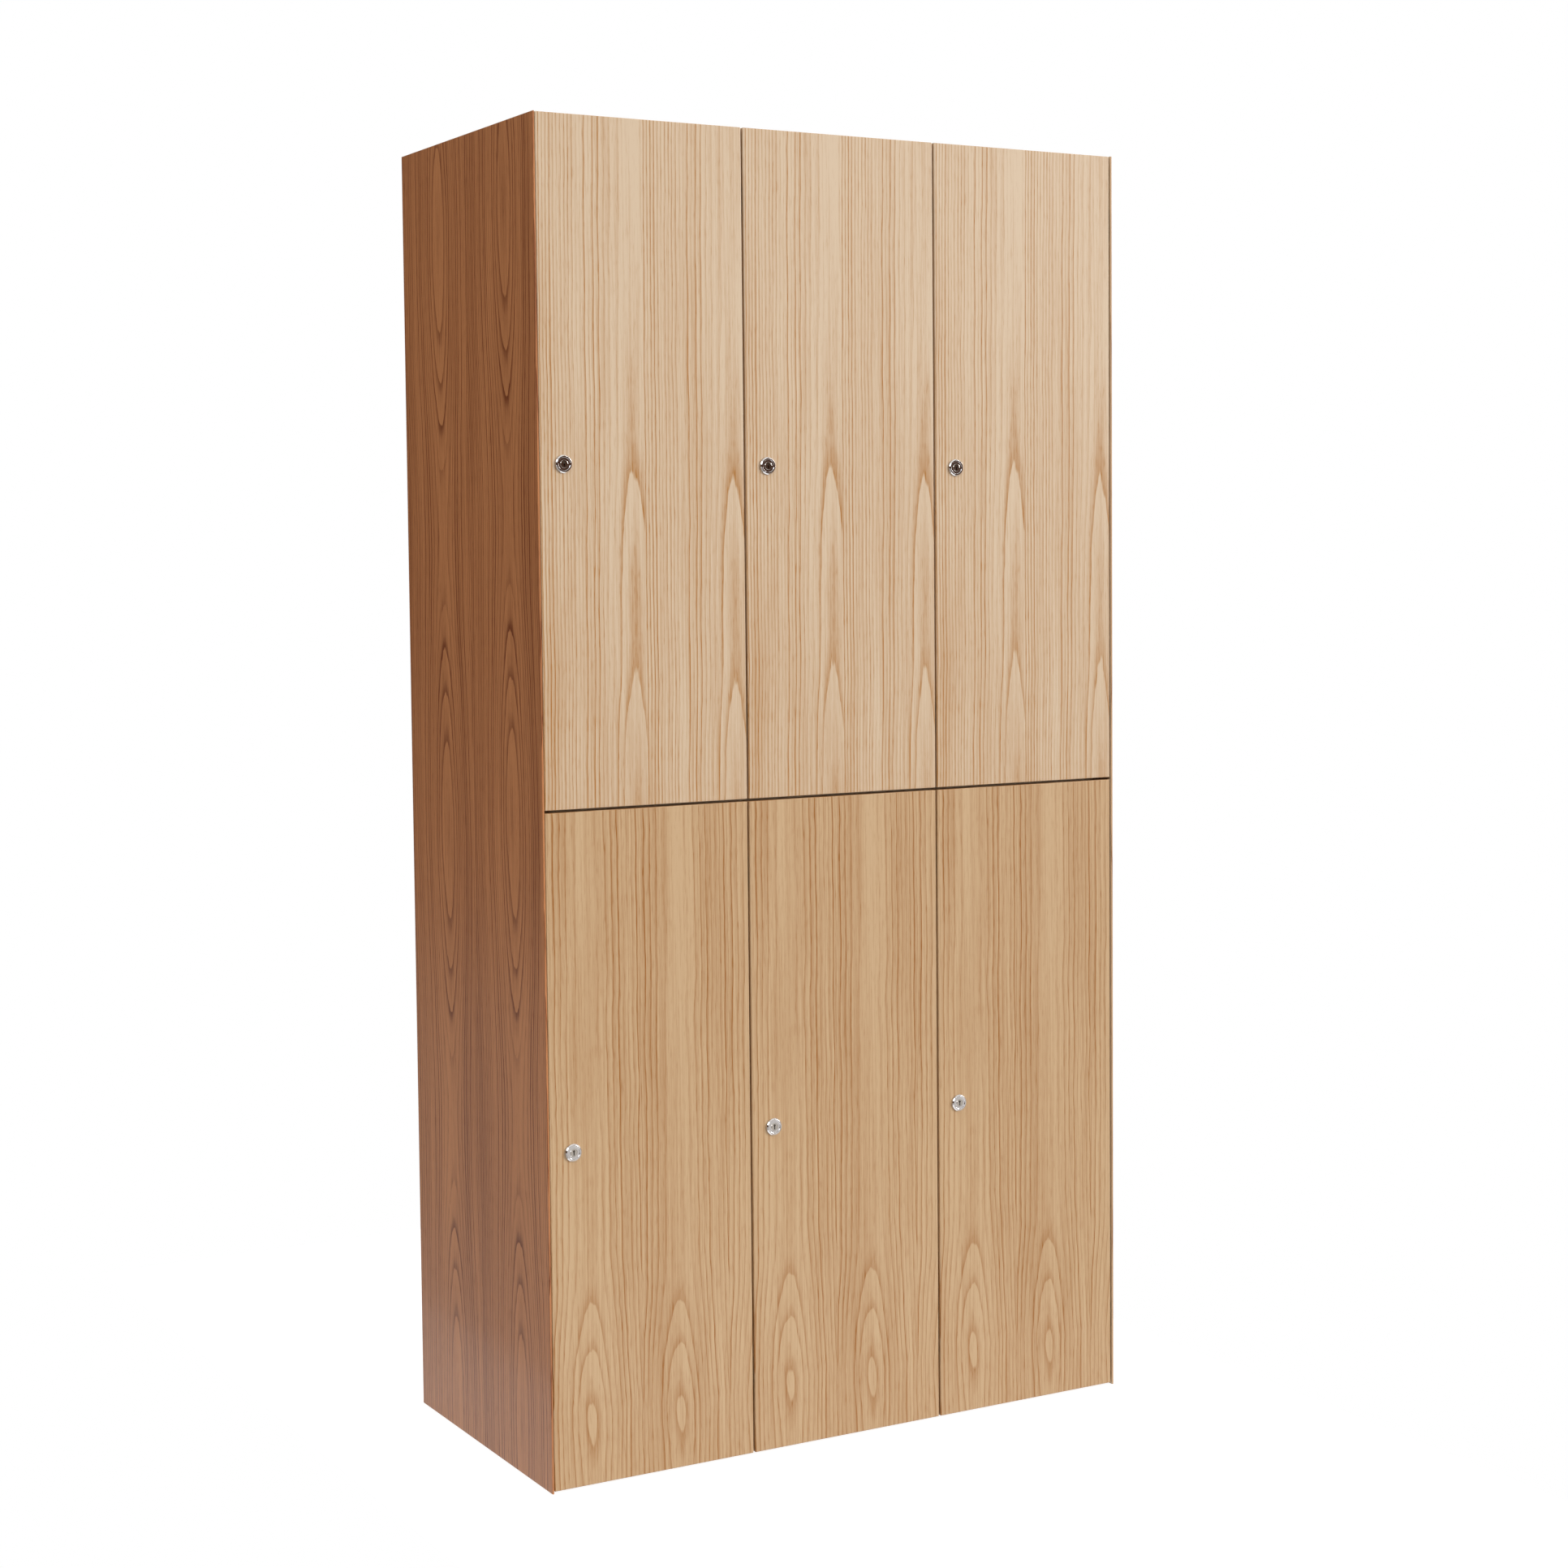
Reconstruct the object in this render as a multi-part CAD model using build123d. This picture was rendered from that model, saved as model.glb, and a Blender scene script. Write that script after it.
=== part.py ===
from build123d import *
import os
from math import atan, atan2, cos, degrees, hypot, radians, sin, sqrt

# Wooden locker with coin-return locks: three columns of two doors.
#
# All sizes are in millimetres. The origin is on the floor, midway between the two sides,
# and midway between the front of the lock flanges and the back. X runs to the right as
# seen from the front, Y runs towards the back and Z runs up.

# ---------------------------------------------------------------- driving dimensions
WIDTH = 927.0
HEIGHT = 1829.0
DEPTH = 460.0  # from the lock flanges to the back panel
COLUMNS = 3
TIERS = 2

BOARD = 18.0  # partitions, shelves, top and bottom, and the core of the end panels
END_LIP = 2.5  # what the rebate for the doors leaves of each end panel
BACK_THICKNESS = 6.0
BACK_REBATE = 9.0
BACK_FIT = 0.5  # round the edge of the back panel

DOOR_THICKNESS = 19.0
DOOR_GAP = 3.0  # to the right of each door
FIRST_GAP = 1.0  # to the left of the first column
TIER_GAP = 3.5
TOP_INSET = 0.5
FLOOR_CLEARANCE = 3.0
DOOR_TO_CASE = 2.0
EDGE_EASE = 1.0
LIP_EASE = 0.6

PIN_FROM_EDGE = 7.0  # hinge pin, from the door's right edge and from its front face
PIN_FROM_FRONT = 7.0
HINGE_FROM_END = 100.0

LOCK_FROM_EDGE = 34.0
FLANGE_PROUD = 3.0
STRIKE_U = -17.0  # the face that the bolt enters, from the lock's axis

ANCHOR_SPACING = 300.0
ANCHOR_RADIUS = 3.5
ANCHOR_BELOW_TOP = 58.0

# ---------------------------------------------------------------- places worked out
FRONT = -DEPTH / 2
DOOR_FRONT = FRONT + FLANGE_PROUD
DOOR_BACK = DOOR_FRONT + DOOR_THICKNESS
CASE_FRONT = DOOR_BACK + DOOR_TO_CASE
CASE_BACK = DEPTH / 2
BOARD_BACK = CASE_BACK - BACK_THICKNESS

END_OUTER = WIDTH / 2
END_FACE = END_OUTER - END_LIP  # the lip's inner face
END_INNER = END_FACE - BOARD
TOP_UNDER = HEIGHT - BOARD

DOOR_WIDTH = (2 * END_FACE - FIRST_GAP - COLUMNS * DOOR_GAP) / COLUMNS
DOOR_HEIGHT = (HEIGHT - TOP_INSET - FLOOR_CLEARANCE - (TIERS - 1) * TIER_GAP) / TIERS
DOOR_LEFT = [-END_FACE + FIRST_GAP + c * (DOOR_WIDTH + DOOR_GAP) for c in range(COLUMNS)]
DOOR_BOTTOM = [FLOOR_CLEARANCE + t * (DOOR_HEIGHT + TIER_GAP) for t in range(TIERS)]

PARTITION_X = [left - DOOR_GAP / 2 for left in DOOR_LEFT[1:]]
BAY_LEFT = [-END_INNER] + [x + BOARD / 2 for x in PARTITION_X]
BAY_RIGHT = [x - BOARD / 2 for x in PARTITION_X] + [END_INNER]
SHELF_Z = DOOR_BOTTOM[1] - TIER_GAP / 2

PIN_X = [left + DOOR_WIDTH - PIN_FROM_EDGE for left in DOOR_LEFT]
PIN_Y = DOOR_FRONT + PIN_FROM_FRONT
HINGE_Z = [(b + HINGE_FROM_END, b + DOOR_HEIGHT - HINGE_FROM_END) for b in DOOR_BOTTOM]
LOCK_X = [left + LOCK_FROM_EDGE for left in DOOR_LEFT]
LOCK_Z = [bottom + DOOR_HEIGHT / 2 for bottom in DOOR_BOTTOM]

# Doors are numbered along the top row from the left, then along the bottom row.
PLACES = [(column, tier) for tier in reversed(range(TIERS)) for column in range(COLUMNS)]

LEFTWARD, RIGHTWARD = (-1, 0, 0), (1, 0, 0)
FORWARD, BACKWARD = (0, -1, 0), (0, 1, 0)
DOWNWARD, UPWARD = (0, 0, -1), (0, 0, 1)
FROM_END = (Align.CENTER, Align.CENTER, Align.MIN)


# ---------------------------------------------------------------- shapes used throughout
def block(x, y, z):
    """A box between pairs of limits along X, Y and Z."""
    size = [high - low for low, high in (x, y, z)]
    centre = [(high + low) / 2 for low, high in (x, y, z)]
    return Pos(*centre) * Box(*size)


def place(shape, origin, direction):
    """A shape made along +Z, stood on a point along a direction."""
    return Plane(origin=origin, z_dir=direction) * shape


def rod(start, direction, radius, length):
    """A round bar from a point along a direction."""
    return place(Cylinder(radius, length, align=FROM_END), start, direction)


def turned(points):
    """A turned piece about Z, from the corners of its section as radius and height."""
    return revolve(Plane.XZ * make_face(Polyline(*points, close=True)), Axis.Z)


def bar(start, end, width, y):
    """A flat bar with round ends between two points in X and Z, within limits along Y."""
    (x0, z0), (x1, z1) = start, end
    outline = SlotCenterToCenter(hypot(x1 - x0, z1 - z0), width)
    flat = extrude(Rot(Z=degrees(atan2(z1 - z0, x1 - x0))) * outline, y[1] - y[0])
    return Pos((x0 + x1) / 2, y[1], (z0 + z1) / 2) * Rot(X=90) * flat


def near(shape, other):
    """Whether two shapes' bounding boxes meet."""
    a, b = shape.bounding_box(), other.bounding_box()
    return all(
        low < high
        for low, high in (
            (max(a.min.X, b.min.X), min(a.max.X, b.max.X)),
            (max(a.min.Y, b.min.Y), min(a.max.Y, b.max.Y)),
            (max(a.min.Z, b.min.Z), min(a.max.Z, b.max.Z)),
        )
    )


def cut(shape, cutters):
    """A shape less those of the cutters that reach it."""
    for cutter in cutters:
        if near(shape, cutter):
            shape = shape - cutter
    return shape


def save(node, *shapes):
    """Write one node's solids to its STEP file."""
    solids = [solid for shape in shapes for solid in shape.solids()]
    whole = solids[0] if len(solids) == 1 else Compound(solids)
    export_step(whole, f"parts/{node}.step")


# ---------------------------------------------------------------- screws
# head radius, shank radius and length
LONG_SCREW = (4.0, 1.9, 22.0)
SHORT_SCREW = (3.3, 1.5, 13.0)
HOLE_FIT = 0.05


def screw(head, shank, length):
    """A countersunk screw with a cross recess, head at the origin and point along +Z."""
    taper, point = head - shank, length - 2 * shank
    body = turned([(0, 0), (head, 0), (shank, taper), (shank, point), (0, length)])
    blade = Box(1.2 * head, 0.2 * head, 0.5 * head, align=FROM_END)
    return body - blade - Rot(Z=90) * blade


def screw_hole(head, shank, length):
    """The room that a screw takes, open above its head."""
    wide, thin = head + HOLE_FIT, shank + HOLE_FIT
    taper = head - shank
    return turned([(0, -1), (wide, -1), (wide, 0), (thin, taper), (thin, length), (0, length)])


SCREWS = {size: screw(*size) for size in (LONG_SCREW, SHORT_SCREW)}
SCREW_HOLES = {size: screw_hole(*size) for size in (LONG_SCREW, SHORT_SCREW)}


def screws_at(places):
    """The screws for a list of (size, head's place, direction), and their holes."""
    solids, holes = [], []
    for size, seat, way in places:
        solids.append(place(SCREWS[size], seat, way))
        holes.append(place(SCREW_HOLES[size], seat, way))
    return solids, holes


# ---------------------------------------------------------------- hinges, about the pin
PIN_RADIUS = 2.5
PIN_HALF = 20.0
PIN_CHAMFER = 0.4
KNUCKLE_RADIUS = 4.5
ARM_THICKNESS = 3.0
ARM_HALF = 15.0
ARM_LENGTH = 62.0
ARM_SCREWS = (32.0, 52.0)  # behind the pin
EAR_LOW, EAR_HIGH = 15.5, 18.5
EAR_RADIUS = 4.2
EAR_BORE = PIN_RADIUS + 0.05
LEAF_THICKNESS = 2.0
LEAF_HALF = 20.0
LEAF_REACH = 46.0
LEAF_SCREW_X, LEAF_SCREW_Z = -33.0, 11.0
WEB_LEFT = -14.8
NOTCH_LEFT, NOTCH_HALF = -15.0, 22.0
NOTCH_SKIN = 2.0
ARM_BEND_Y = 13.0
DOOR_BACK_FROM_PIN = DOOR_BACK - PIN_Y


def strip(points, thickness, height):
    """A bent strip of sheet, standing on its edge, about a line of points in X and Y."""
    half = thickness / 2
    ways = [
        ((x1 - x0) / hypot(x1 - x0, y1 - y0), (y1 - y0) / hypot(x1 - x0, y1 - y0))
        for (x0, y0), (x1, y1) in zip(points, points[1:])
    ]
    left, right = [], []
    for (x, y), before, after in zip(points, [ways[0]] + ways, ways + [ways[-1]]):
        mitre = 1 + before[0] * after[0] + before[1] * after[1]
        dx = -(before[1] + after[1]) / mitre * half
        dy = (before[0] + after[0]) / mitre * half
        left.append((x + dx, y + dy))
        right.append((x - dx, y - dy))
    outline = make_face(Polyline(*left, *reversed(right), close=True))
    return Pos(Z=-height / 2) * extrude(outline, height)


def hinge_arm(wall):
    """The fixed half of a hinge, screwed to a wall face at this X from the pin."""
    flange_x = wall - ARM_THICKNESS / 2
    bent = [(0, 0), (flange_x, ARM_BEND_Y), (flange_x, ARM_LENGTH)]
    straight = [(flange_x, 0), (flange_x, ARM_LENGTH)]
    reach = bent if flange_x < -KNUCKLE_RADIUS else straight
    arm = strip(reach, ARM_THICKNESS, 2 * ARM_HALF)
    arm += rod((0, 0, -ARM_HALF), UPWARD, KNUCKLE_RADIUS, 2 * ARM_HALF)
    return arm - rod((0, 0, -PIN_HALF), UPWARD, PIN_RADIUS, 2 * PIN_HALF)


def hinge_pin():
    """The pin, pressed into the arm's knuckle, with eased ends."""
    pin = rod((0, 0, -PIN_HALF), UPWARD, PIN_RADIUS, 2 * PIN_HALF)
    return chamfer(pin.edges().filter_by(GeomType.CIRCLE), PIN_CHAMFER)


def hinge_leaf():
    """The moving half: a bent plate on the door's back with two ears round the pin."""
    back = DOOR_BACK_FROM_PIN
    web_right = WEB_LEFT + LEAF_THICKNESS
    leaf = block((-LEAF_REACH, web_right), (back, back + LEAF_THICKNESS), (-LEAF_HALF, LEAF_HALF))
    leaf += block((WEB_LEFT, web_right), (-EAR_RADIUS, back + 1), (-LEAF_HALF, LEAF_HALF))
    for low in (EAR_LOW, -EAR_HIGH):
        high = low + EAR_HIGH - EAR_LOW
        leaf += block((WEB_LEFT + 1, 0), (-EAR_RADIUS, EAR_RADIUS), (low, high))
        leaf += rod((0, 0, low), UPWARD, EAR_RADIUS, high - low)
    return leaf - rod((0, 0, -LEAF_HALF), UPWARD, EAR_BORE, 2 * LEAF_HALF)


def hinge_notch():
    """The pocket in the door's edge that the hinge turns in."""
    right = PIN_FROM_EDGE + 1
    skin = NOTCH_SKIN - PIN_FROM_FRONT
    return block((NOTCH_LEFT, right), (skin, DOOR_BACK_FROM_PIN + 1), (-NOTCH_HALF, NOTCH_HALF))


def hinge_places():
    """The pin's middle and the wall face's X from it, for each hinge of the locker."""
    for column, tier in PLACES:
        wall = BAY_RIGHT[column] - PIN_X[column]
        for z in HINGE_Z[tier]:
            yield (PIN_X[column], PIN_Y, z), wall


def hinge_arm_screws():
    """The screws that hold every arm to its wall."""
    for (x, y, z), wall in hinge_places():
        for behind in ARM_SCREWS:
            yield SHORT_SCREW, (x + wall - ARM_THICKNESS, y + behind, z), RIGHTWARD


def leaf_screws(column, tier):
    """The screws that hold one door's leaves."""
    y = DOOR_BACK + LEAF_THICKNESS
    for z in HINGE_Z[tier]:
        for side in (-LEAF_SCREW_Z, LEAF_SCREW_Z):
            yield SHORT_SCREW, (PIN_X[column] + LEAF_SCREW_X, y, z + side), FORWARD


# ---------------------------------------------------------------- lock, about its axis
# X is measured from the lock's axis, Y from the door's back face, Z from the lock's axis.
# Turning the plug a quarter turn to the left swings the bolt from upright into the strike.
# The bolt's pin moves a forked lever, the coin gate, whose finger then holds the coin.
FLANGE_RADIUS = 12.0
BARREL_RADIUS = 7.5
BARREL_END = 5.5
RIM_EASE = 0.25
PLUG_RADIUS = 5.5
PLUG_BORE = PLUG_RADIUS + 0.05
PLUG_CHAMFER = 0.4
RECESS_RADIUS, RECESS_DEPTH = 8.3, 0.9
NUT_RADIUS, NUT_THICKNESS = 9.6, 3.0
NUT_SLOT_WIDTH, NUT_SLOT_DEPTH = 2.0, 1.2
KEYHOLE_WIDTH, KEYHOLE_HALF, KEYHOLE_DEPTH = 1.5, 3.0, 9.0
NECK_HALF = 2.5  # half the side of the square that turns the bolt
RIVET_RADIUS, RIVET_THICKNESS = 4.2, 0.8

BOLT_Y = (10.0, 14.0)
BOLT_WIDTH, BOLT_REACH = 11.0, 25.0
BOLT_HUB_RADIUS = 8.9
BOLT_FIT = 0.4
DRIVE_RADIUS = 7.0  # the bolt's pin, from the lock's axis
DRIVE_PIN_RADIUS, DRIVE_PIN_END = 1.5, 18.9

GATE_PIVOT_BELOW = 10.75  # the gate's pivot, below the lock's axis
GATE_Y = (15.2, 18.2)
GATE_POST_GAP = 0.25
HALF_TURN_SIDE = DRIVE_RADIUS / sqrt(2)  # the pin's place to the side, before and after
GATE_HALF_SWING = atan(HALF_TURN_SIDE / (GATE_PIVOT_BELOW + HALF_TURN_SIDE))
GATE_HUB_RADIUS, GATE_POST_RADIUS = 4.5, 2.0
GATE_COLLAR_RADIUS, GATE_COLLAR_THICKNESS = 3.0, 0.55
FORK_WIDTH, FORK_REACH, FORK_FIT = 7.2, 17.5, 0.2
FINGER_WIDTH, FINGER_REACH = 4.0, 33.0

CASE_X = (-12.5, 47.0)
CASE_DEPTH = 28.0
CASE_Z = (-62.0, 38.0)
CASE_WALL = 1.5
CASE_ROUND = 2.5
EAR_X = (5.0, 31.0)
EAR_OUT = 12.0
EAR_THICKNESS = 2.0
EAR_SCREWS = (11.0, 25.0)
CHUTE_X = (31.5, 34.7)
CHUTE_FRONT, CHUTE_FOOT = 2.0, -8.2
COIN_SLOT_Z = (-3.0, 23.5)
SLOT_RIM, SLOT_RIM_PROUD = 2.0, 1.5
RETURN_X, RETURN_Z = (20.5, 45.0), (-56.0, -40.0)

MORTISE_DEPTH, MORTISE_FIT = 9.0, 1.0
MORTISE_TOP = sqrt(BOLT_REACH**2 - STRIKE_U**2) + MORTISE_FIT  # where the bolt's tip enters
MORTISE_Z = (-BOLT_WIDTH / 2 - MORTISE_FIT, MORTISE_TOP)
STRIKE_Y, STRIKE_Z = sum(BOLT_Y) / 2, sum(MORTISE_Z) / 2
STRIKE_PLATE = (18.0, 52.0, 1.5)  # along Y, along Z, and thick
STRIKE_CORNER = 2.0
STRIKE_SCREW_Z = 20.5
BLOCK_SIZE = (24.0, 76.0)  # along Y and along Z
BLOCK_FRONT, BLOCK_CHAMFER = 2.5, 0.8
BLOCK_SCREW_Z = 32.0


def grown(limits, margin):
    """A pair of limits moved apart by a margin at each end."""
    return limits[0] - margin, limits[1] + margin


def lock_cylinder():
    """The flange on the door's front, and the barrel through the door, with its bore."""
    front = -(DOOR_THICKNESS + FLANGE_PROUD)
    bevel = FLANGE_PROUD / 2
    end = BARREL_END - front
    section = [
        (PLUG_BORE, RECESS_DEPTH),
        (RECESS_RADIUS, RECESS_DEPTH),
        (RECESS_RADIUS + 0.3, 0),
        (FLANGE_RADIUS - bevel, 0),
        (FLANGE_RADIUS, bevel),
        (FLANGE_RADIUS, FLANGE_PROUD),
        (BARREL_RADIUS, FLANGE_PROUD),
        (BARREL_RADIUS, end),
        (PLUG_BORE, end),
    ]
    cylinder = turned(section)
    circles = cylinder.edges().filter_by(GeomType.CIRCLE)
    rims = [edge for edge in circles if edge.radius > RECESS_RADIUS]
    return place(fillet(rims, RIM_EASE), (0, front, 0), BACKWARD)


def lock_nut():
    """The slotted ring nut that clamps the cylinder to the door."""
    bore, thick = BARREL_RADIUS + HOLE_FIT, NUT_THICKNESS
    ring = turned([(bore, 0), (NUT_RADIUS, 0), (NUT_RADIUS, thick), (bore, thick)])
    slot = Box(3 * NUT_RADIUS, NUT_SLOT_WIDTH, NUT_SLOT_DEPTH, align=FROM_END)
    for angle in (45, 135):
        ring -= Rot(Z=angle) * slot
    return Rot(X=90) * Pos(Z=-thick) * ring


def lock_plug():
    """The turning plug with its keyhole, and the square neck riveted over the bolt."""
    front = RECESS_DEPTH / 2 - DOOR_THICKNESS - FLANGE_PROUD
    plug = rod((0, front, 0), BACKWARD, PLUG_RADIUS, BOLT_Y[0] - front)
    plug = chamfer(plug.edges().sort_by(Axis.Y)[0], PLUG_CHAMFER)
    plug += block((-NECK_HALF, NECK_HALF), (BOLT_Y[0] - 1, BOLT_Y[1]), (-NECK_HALF, NECK_HALF))
    plug += rod((0, BOLT_Y[1], 0), BACKWARD, RIVET_RADIUS, RIVET_THICKNESS)
    keyhole_y = (front - 1, front + KEYHOLE_DEPTH)
    plug -= bar((0, -KEYHOLE_HALF), (0, KEYHOLE_HALF), KEYHOLE_WIDTH, keyhole_y)
    return plug - rod((0, keyhole_y[0], KEYHOLE_HALF - 1), BACKWARD, KEYHOLE_WIDTH, KEYHOLE_DEPTH)


def lock_bolt():
    """The swinging bolt, upright as when unlocked, with the pin that moves the gate."""
    bolt = bar((0, 0), (0, BOLT_REACH - BOLT_WIDTH / 2), BOLT_WIDTH, BOLT_Y)
    bolt += rod((0, BOLT_Y[0], 0), BACKWARD, BOLT_HUB_RADIUS, BOLT_Y[1] - BOLT_Y[0])
    start = (HALF_TURN_SIDE, BOLT_Y[1] - 1, HALF_TURN_SIDE)
    bolt += rod(start, BACKWARD, DRIVE_PIN_RADIUS, DRIVE_PIN_END - start[1])
    square = NECK_HALF + HOLE_FIT
    return bolt - block((-square, square), grown(BOLT_Y, 1), (-square, square))


def coin_gate():
    """The lever that the bolt swings under the coin, in the unlocked position."""
    swing = 2 * GATE_HALF_SWING
    fork = GATE_HALF_SWING
    pivot = (0, -GATE_PIVOT_BELOW)
    hub_y = (GATE_Y[0], CASE_DEPTH - CASE_WALL - GATE_POST_GAP)

    def along_fork(reach):
        return reach * sin(fork), reach * cos(fork) - GATE_PIVOT_BELOW

    slot_width = 2 * (DRIVE_PIN_RADIUS + FORK_FIT)
    slot_start = hypot(HALF_TURN_SIDE, HALF_TURN_SIDE + GATE_PIVOT_BELOW)
    finger_end = (FINGER_REACH * cos(swing), pivot[1] - FINGER_REACH * sin(swing))
    gate = bar(pivot, along_fork(FORK_REACH), FORK_WIDTH, GATE_Y)
    slot_end = along_fork(FORK_REACH + FORK_WIDTH)
    gate -= bar(along_fork(slot_start), slot_end, slot_width, grown(GATE_Y, 1))
    gate += bar(pivot, finger_end, FINGER_WIDTH, GATE_Y)
    gate += rod((0, hub_y[0], pivot[1]), BACKWARD, GATE_HUB_RADIUS, hub_y[1] - hub_y[0])
    return gate - rod((0, 0, pivot[1]), BACKWARD, GATE_POST_RADIUS + HOLE_FIT, CASE_DEPTH)


def case_shell():
    """The lock case's walls, open towards the door, with its four screw ears."""
    shell = block(CASE_X, (0, CASE_DEPTH), CASE_Z)
    shell = fillet(shell.edges() - shell.faces().sort_by(Axis.Y)[0].edges(), CASE_ROUND)
    ear_z = grown(CASE_Z, EAR_OUT)
    ears = block(EAR_X, (0, EAR_THICKNESS), ear_z)
    shell += fillet(ears.edges().filter_by(Axis.Y), 2 * CASE_ROUND)
    inside = [(low + CASE_WALL, high - CASE_WALL) for low, high in (CASE_X, CASE_Z)]
    return shell - block(inside[0], (-1, CASE_DEPTH - CASE_WALL), inside[1])


def case_ribs():
    """The coin chute's two walls, and the gate's post with its collar."""
    rear = CASE_DEPTH - CASE_WALL
    top = CASE_Z[1] - CASE_WALL
    collar_end = GATE_Y[0] - GATE_POST_GAP
    seat = (0, collar_end, -GATE_PIVOT_BELOW)
    chute_y, chute_z = (CHUTE_FRONT, rear + 1), (CHUTE_FOOT, top + 1)
    return [
        block((CHUTE_X[0] - CASE_WALL, CHUTE_X[0]), chute_y, chute_z),
        block((CHUTE_X[1], CHUTE_X[1] + CASE_WALL), chute_y, chute_z),
        rod(seat, BACKWARD, GATE_POST_RADIUS, rear + 1 - collar_end),
        rod(seat, FORWARD, GATE_COLLAR_RADIUS, GATE_COLLAR_THICKNESS),
    ]


def lock_case():
    """The whole lock case, with the bolt's window, the coin slot and the coin return."""
    case = case_shell()
    for rib in case_ribs():
        case += rib
    rim_x, rim_z = grown(CHUTE_X, SLOT_RIM), grown(COIN_SLOT_Z, SLOT_RIM)
    rim = block(rim_x, (CASE_DEPTH - 1, CASE_DEPTH + SLOT_RIM_PROUD), rim_z)
    case += fillet(rim.edges().filter_by(Axis.Y), CASE_WALL)
    through = (CASE_DEPTH - CASE_WALL - 0.5, CASE_DEPTH + SLOT_RIM_PROUD + 1)
    case -= block(CHUTE_X, through, COIN_SLOT_Z)
    case -= block(RETURN_X, through, RETURN_Z)
    window_x = (CASE_X[0] - 1, CASE_X[0] + CASE_WALL + 0.5)
    sweep_top = sqrt(BOLT_REACH**2 - (CASE_X[0] + CASE_WALL) ** 2)
    window_z = grown((-BOLT_WIDTH / 2, sweep_top), 2 * BOLT_FIT)
    return case - block(window_x, grown(BOLT_Y, BOLT_FIT), window_z)


def case_screws_at(column, tier):
    """The screws that hold one lock case to its door."""
    for x in EAR_SCREWS:
        for z in grown(CASE_Z, EAR_OUT / 2):
            seat = (LOCK_X[column] + x, DOOR_BACK + EAR_THICKNESS, LOCK_Z[tier] + z)
            yield SHORT_SCREW, seat, FORWARD


def strike_shape(right):
    """A plate with round corners, from the strike's rear face to this X."""
    depth, height, thickness = STRIKE_PLATE
    y, z = grown((STRIKE_Y,) * 2, depth / 2), grown((STRIKE_Z,) * 2, height / 2)
    plate = block((STRIKE_U - thickness, right), y, z)
    return fillet(plate.edges().filter_by(Axis.X), STRIKE_CORNER)


def strike_plate():
    """The steel plate round the bolt's mortise."""
    return strike_shape(STRIKE_U)


def strike_recess():
    """The shallow pocket that takes the strike plate."""
    return strike_shape(STRIKE_U + 1)


def bolt_mortise():
    """The room that the bolt's tip sweeps through, behind the strike face."""
    x = (STRIKE_U - MORTISE_DEPTH, STRIKE_U + 1)
    return block(x, grown(BOLT_Y, MORTISE_FIT), MORTISE_Z)


def strike_block(wall):
    """The wooden packer that brings a partition's strike up to the bolt."""
    depth, height = BLOCK_SIZE
    y, z = (BLOCK_FRONT, BLOCK_FRONT + depth), grown((STRIKE_Z,) * 2, height / 2)
    packer = block((wall, STRIKE_U), y, z)
    return chamfer(packer.faces().sort_by(Axis.X)[-1].edges(), BLOCK_CHAMFER)


def strike_screws():
    """The screws of every strike plate, and of the blocks behind those on partitions."""
    y = DOOR_BACK + STRIKE_Y
    for column, tier in PLACES:
        x, z = LOCK_X[column] + STRIKE_U, LOCK_Z[tier] + STRIKE_Z
        for side in (-1, 1):
            yield SHORT_SCREW, (x, y, z + side * STRIKE_SCREW_Z), LEFTWARD
            if column:
                yield LONG_SCREW, (x, y, z + side * BLOCK_SCREW_Z), LEFTWARD


# ---------------------------------------------------------------- cam fittings
CAM_SETBACK = 24.0
CAM_RADIUS, CAM_DEPTH = 7.4, 12.3
CAM_FIT = 0.1
CAM_BOLT_RADIUS, CAM_BOLT_GRIP = 3.0, 8.5
CAM_CROSS = (9.0, 1.4, 3.0)  # the screwdriver recess: long, wide and deep
CAM_ROWS = (-150.0, 150.0)  # along Y


def cam_fitting():
    """A cam and its bolt: the joint's face at the origin, the bolt along +X, the cam under +Z."""
    top = BOARD / 2 - CAM_FIT
    cam = rod((-CAM_SETBACK, 0, top), DOWNWARD, CAM_RADIUS, CAM_DEPTH)
    cam -= rod((-CAM_SETBACK - 2, 0, 0), RIGHTWARD, CAM_BOLT_RADIUS + CAM_FIT, CAM_SETBACK)
    for angle in (0, 90):
        cross = Rot(Z=angle) * Box(*CAM_CROSS, align=FROM_END)
        cam -= Pos(-CAM_SETBACK, 0, top - 2) * cross
    bolt = rod((-CAM_SETBACK, 0, 0), RIGHTWARD, CAM_BOLT_RADIUS, CAM_SETBACK + CAM_BOLT_GRIP)
    return [cam, bolt]


def cam_holes():
    """The holes for one cam fitting."""
    depth, length = CAM_DEPTH + 2 * CAM_FIT, CAM_SETBACK + CAM_BOLT_GRIP
    pocket = rod((-CAM_SETBACK, 0, BOARD / 2 + 1), DOWNWARD, CAM_RADIUS + CAM_FIT, depth + 1)
    hole = rod((-CAM_SETBACK, 0, 0), RIGHTWARD, CAM_BOLT_RADIUS + CAM_FIT, length)
    return [pocket, hole]


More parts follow.
